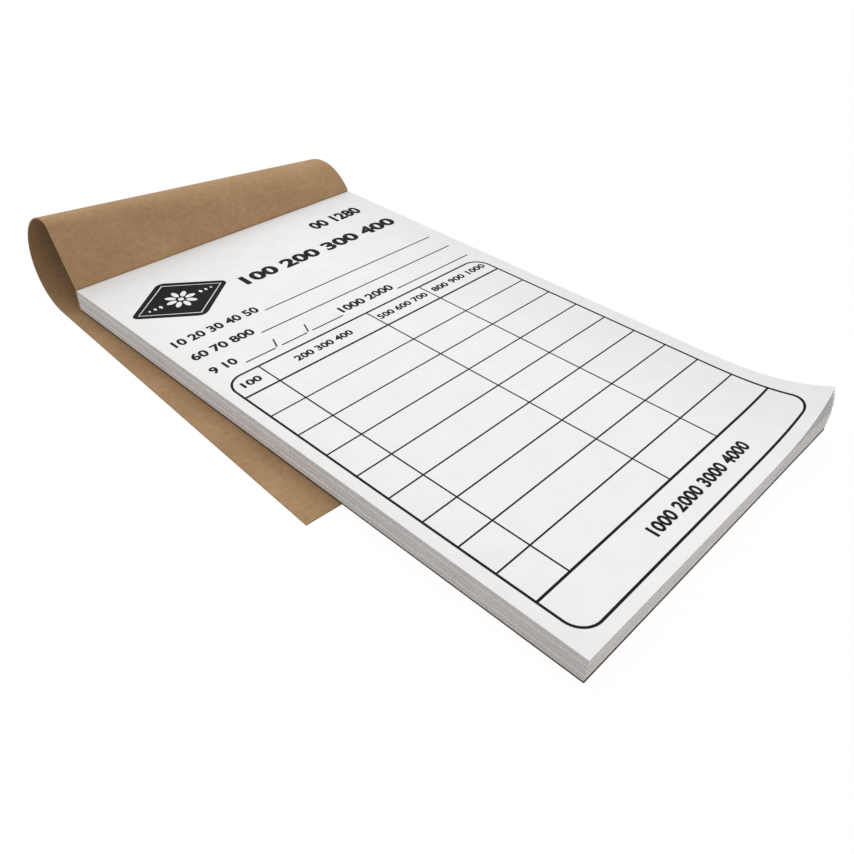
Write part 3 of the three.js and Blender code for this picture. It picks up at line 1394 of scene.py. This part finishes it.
@dataclass
class Studio:
    """The pale floor, the soft light and the camera.

    The room's light grows from its least to its most towards the right, and a little towards
    the foot. Its slant says how much X and Y count in that.
    """

    floor_size: float = 6.0
    floor_drop: float = 0.05 * MM
    floor_tone: float = 0.45
    floor_glow: float = 1.03
    floor_glow_share: float = 0.95
    room_slant: Triple = (1.0, -0.4, 1.0)
    room_least: float = 0.61
    room_most: float = 0.92
    lamp_place: Triple = (0.5, 1.9, 1.6)
    lamp_size: float = 2.3
    lamp_power: float = 30.0
    camera_place: Triple = (-133.51 * MM, -121.20 * MM, 124.82 * MM)
    camera_aim: Triple = (-24.14 * MM, -22.78 * MM, 6.9 * MM)
    camera_roll: float = math.radians(2.49)
    camera_nearest: float = 10 * MM
    focal_pixels: float = 840.36
    sensor_mm: float = 36.0

    def build(self) -> None:
        """Sets up the floor, the light and the camera."""
        self.add_floor()
        self.light_world()
        self.add_lamp()
        self.add_camera()
        bpy.context.scene.view_settings.view_transform = "Standard"

    def add_floor(self) -> None:
        """Adds a white floor that shows a faint shadow."""
        bm = bmesh.new()
        middle = Vector((0, 0, -self.floor_drop))
        add_rectangle(bm, middle, (self.floor_size, self.floor_size))
        material, nodes = new_material("floor_white")
        tone = self.floor_tone
        matt = nodes.add("BsdfDiffuse", color=(tone, tone, tone, 1))
        bright = nodes.add("Emission", color=(*WHITE, 1), strength=self.floor_glow)
        share = nodes.math(Operation.MULTIPLY, nodes.seen(), self.floor_glow_share)
        nodes.add("OutputMaterial", surface=nodes.shaders_mixed(share, matt, bright))
        floor = add_object("floor", plain_mesh("floor", bm))
        floor.data.materials.append(material)

    def light_world(self) -> None:
        """Lights the scene softly from all round, a little less from the left, and shows white."""
        world = bpy.data.worlds.new("soft_room")
        world.use_nodes = True
        bpy.context.scene.world = world
        nodes = NodeTree(world.node_tree)
        direction = nodes.squeezed(nodes.add("TexCoord").outputs["Generated"], self.room_slant)
        parts = nodes.add("SeparateXYZ", vector=direction).outputs
        strength = nodes.add(
            "MapRange",
            value=nodes.math(Operation.ADD, parts["X"], parts["Y"]),
            from_min=-1.0,
            from_max=1.0,
            to_min=self.room_least,
            to_max=self.room_most,
        )
        lit = nodes.add("Background", color=(*WHITE, 1), strength=strength.outputs["Result"])
        shown = nodes.add("Background", color=(*WHITE, 1), strength=1.0)
        nodes.add("OutputWorld", surface=nodes.shaders_mixed(nodes.seen(), lit, shown))

    def add_lamp(self) -> None:
        """Adds a large soft lamp that faces the pad."""
        data = bpy.data.lights.new("key_lamp", "AREA")
        data.size = self.lamp_size
        data.energy = self.lamp_power
        lamp = add_object("key_lamp", data)
        lamp.location = self.lamp_place
        lamp.rotation_euler = (-Vector(self.lamp_place)).to_track_quat("-Z", "Y").to_euler()

    def add_camera(self) -> None:
        """Adds the camera at the photograph's place and angle."""
        data = bpy.data.cameras.new("camera")
        data.sensor_width = self.sensor_mm
        data.lens = self.focal_pixels / PHOTO_WIDTH * self.sensor_mm
        data.clip_start = self.camera_nearest
        camera = add_object("camera", data)
        place = Vector(self.camera_place)
        looking = Vector(self.camera_aim) - place
        turned = looking.to_track_quat("-Z", "Y").to_matrix().to_4x4()
        rolled = turned @ Matrix.Rotation(self.camera_roll, 4, "Z")
        camera.matrix_world = Matrix.Translation(place) @ rolled
        bpy.context.scene.camera = camera


def main() -> None:
    """Builds the studio and the pad."""
    logging.basicConfig(level=logging.INFO, format="%(name)s %(message)s")
    Studio().build()
    curl = LeafBlock().build()
    KraftCover().build()
    OrderPrint(curl).build()
    bpy.context.view_layer.update()


if __name__ == "__main__":
    main()
